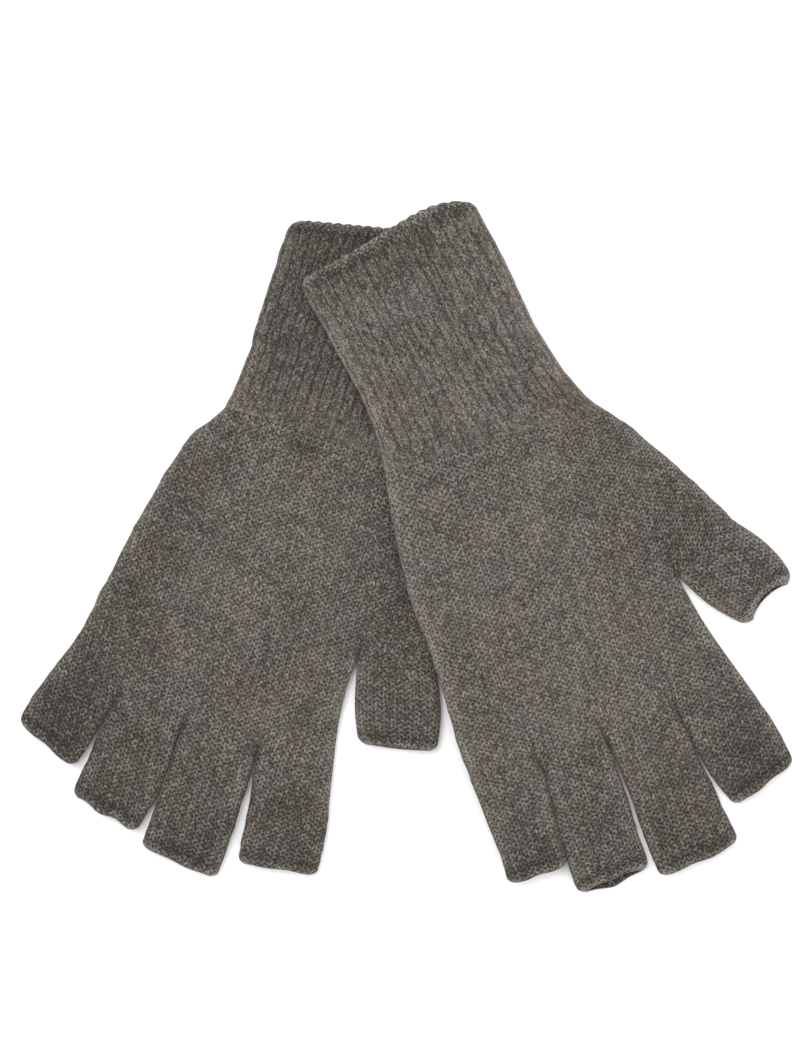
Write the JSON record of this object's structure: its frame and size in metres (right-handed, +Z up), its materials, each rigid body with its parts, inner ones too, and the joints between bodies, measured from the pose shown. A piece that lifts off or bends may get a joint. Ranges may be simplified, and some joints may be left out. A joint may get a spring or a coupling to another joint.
{
  "type": "fingerless gloves",
  "caption": "Pair of knitted fingerless gloves laid one across the other, with deep ribbed cuffs, short open finger and thumb stalls and bound-off edges.",
  "frame": {"origin": "centre of the pair's footprint, on the surface that it lies on", "axes": "+X to the right as the pair is seen from above with the cuffs at the top, along the longest side; +Y towards the cuffs; +Z up, through the thickness"},
  "size_m": [0.2776, 0.2436, 0.0204],
  "materials": {
    "plain_knit": "soft heathered plain knit, slightly brushed",
    "rib_knit": "soft heathered rib knit",
    "cast_on_welt": "soft heathered knit, firm cast-on edge",
    "bound_edge": "soft heathered knit, rolled bound-off edge",
    "fork_stitches": "same yarn, gathered stitches"
  },
  "bodies": {
    "left_glove": {"left_hand": "plain_knit", "left_cuff": "rib_knit", "left_cuff_welt": "cast_on_welt", "left_little_ring_join": "fork_stitches", "left_ring_middle_join": "fork_stitches", "left_middle_index_join": "fork_stitches", "left_thumb_index_join": "fork_stitches"},
    "right_glove": {"right_hand": "plain_knit", "right_little_ring_join": "fork_stitches", "right_ring_middle_join": "fork_stitches", "right_middle_index_join": "fork_stitches", "right_thumb_index_join": "fork_stitches"},
    "right_cuff_tube": {"right_cuff": "rib_knit", "right_cuff_welt": "cast_on_welt"},
    "left_thumb_stall": {"left_thumb": "plain_knit", "left_thumb_edge": "bound_edge"},
    "left_index_stall": {"left_index": "plain_knit", "left_index_edge": "bound_edge"},
    "left_middle_stall": {"left_middle": "plain_knit", "left_middle_edge": "bound_edge"},
    "left_ring_stall": {"left_ring": "plain_knit", "left_ring_edge": "bound_edge"},
    "left_little_stall": {"left_little": "plain_knit", "left_little_edge": "bound_edge"},
    "right_thumb_stall": {"right_thumb": "plain_knit", "right_thumb_edge": "bound_edge"},
    "right_index_stall": {"right_index": "plain_knit", "right_index_edge": "bound_edge"},
    "right_middle_stall": {"right_middle": "plain_knit", "right_middle_edge": "bound_edge"},
    "right_ring_stall": {"right_ring": "plain_knit", "right_ring_edge": "bound_edge"},
    "right_little_stall": {"right_little": "plain_knit", "right_little_edge": "bound_edge"}
  },
  "joints": [
    {"name": "right_glove_lift", "type": "slide", "parent": "left_glove", "child": "right_glove", "axis": [0, 0, 1], "range_m": [0, 0.12]},
    {"name": "right_cuff_fold", "type": "hinge", "parent": "right_glove", "child": "right_cuff_tube", "pos_m": [0.02978, 0.0372, 0.01588], "axis": [0.9312, 0.3584, -0.0659], "range_deg": [0, 70]},
    {"name": "left_thumb_fold", "type": "hinge", "parent": "left_glove", "child": "left_thumb_stall", "pos_m": [-0.00373, -0.05436, 0.008], "axis": [-1, 0, 0], "range_deg": [0, 80]},
    {"name": "left_index_fold", "type": "hinge", "parent": "left_glove", "child": "left_index_stall", "pos_m": [-0.04282, -0.07889, 0.008], "axis": [-0.9511, 0.309, 0], "range_deg": [0, 90]},
    {"name": "left_middle_fold", "type": "hinge", "parent": "left_glove", "child": "left_middle_stall", "pos_m": [-0.06897, -0.07039, 0.008], "axis": [-0.9511, 0.309, 0], "range_deg": [0, 90]},
    {"name": "left_ring_fold", "type": "hinge", "parent": "left_glove", "child": "left_ring_stall", "pos_m": [-0.09418, -0.0622, 0.008], "axis": [-0.9511, 0.309, 0], "range_deg": [0, 90]},
    {"name": "left_little_fold", "type": "hinge", "parent": "left_glove", "child": "left_little_stall", "pos_m": [-0.11843, -0.05432, 0.008], "axis": [-0.9511, 0.309, 0], "range_deg": [0, 90]},
    {"name": "right_thumb_fold", "type": "hinge", "parent": "right_glove", "child": "right_thumb_stall", "pos_m": [0.11173, -0.0028, 0.01008], "axis": [-0.6412, -0.766, 0.0454], "range_deg": [0, 80]},
    {"name": "right_index_fold", "type": "hinge", "parent": "right_glove", "child": "right_index_stall", "pos_m": [0.11163, -0.05588, 0.01009], "axis": [-0.9312, -0.3584, 0.0659], "range_deg": [0, 90]},
    {"name": "right_middle_fold", "type": "hinge", "parent": "right_glove", "child": "right_middle_stall", "pos_m": [0.08602, -0.06573, 0.0119], "axis": [-0.9312, -0.3584, 0.0659], "range_deg": [0, 90]},
    {"name": "right_ring_fold", "type": "hinge", "parent": "right_glove", "child": "right_ring_stall", "pos_m": [0.06134, -0.07523, 0.01365], "axis": [-0.9312, -0.3584, 0.0659], "range_deg": [0, 90]},
    {"name": "right_little_fold", "type": "hinge", "parent": "right_glove", "child": "right_little_stall", "pos_m": [0.03759, -0.08437, 0.01533], "axis": [-0.9312, -0.3584, 0.0659], "range_deg": [0, 90]}
  ]
}
